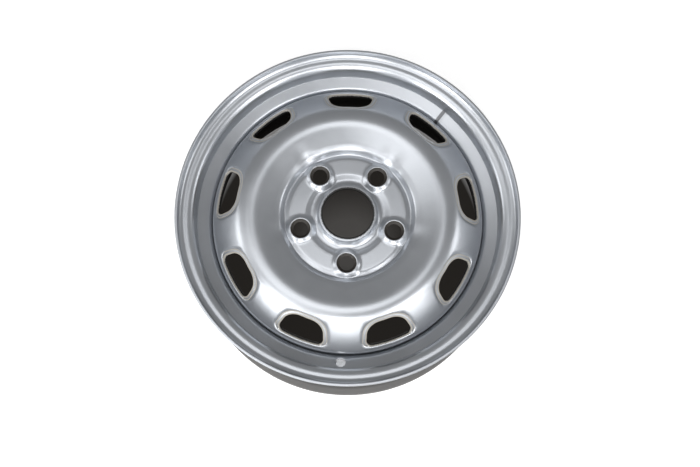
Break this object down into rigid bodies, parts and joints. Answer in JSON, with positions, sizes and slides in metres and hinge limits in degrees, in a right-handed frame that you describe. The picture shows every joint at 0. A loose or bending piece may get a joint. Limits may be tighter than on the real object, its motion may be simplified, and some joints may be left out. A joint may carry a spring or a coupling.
{
  "type": "steel wheel",
  "caption": "Pressed steel car wheel: a rolled J-flange rim and a deep-drawn disc with vent slots, raised conical bolt bosses, a drawn centre collar and a deep offset.",
  "frame": {"origin": "on the wheel's axis, in the plane of the inboard flange's edge, where the wheel rests", "axes": "+Z along the wheel's axis, from the inboard side to the outboard face; +Y is the picture's upward direction, and the valve hole is near -Y"},
  "size_m": [0.3894, 0.3894, 0.1627],
  "materials": {
    "silver_paint": "satin silver wheel paint over steel",
    "weld": "rough weld metal under the same paint"
  },
  "bodies": {
    "root": {"rim": "silver_paint", "wheel_disc": "silver_paint", "weld_bead_1": "weld", "weld_bead_2": "weld", "weld_bead_3": "weld", "weld_bead_4": "weld", "weld_bead_5": "weld", "weld_bead_6": "weld", "weld_bead_7": "weld", "weld_bead_8": "weld", "weld_bead_9": "weld"}
  },
  "joints": []
}
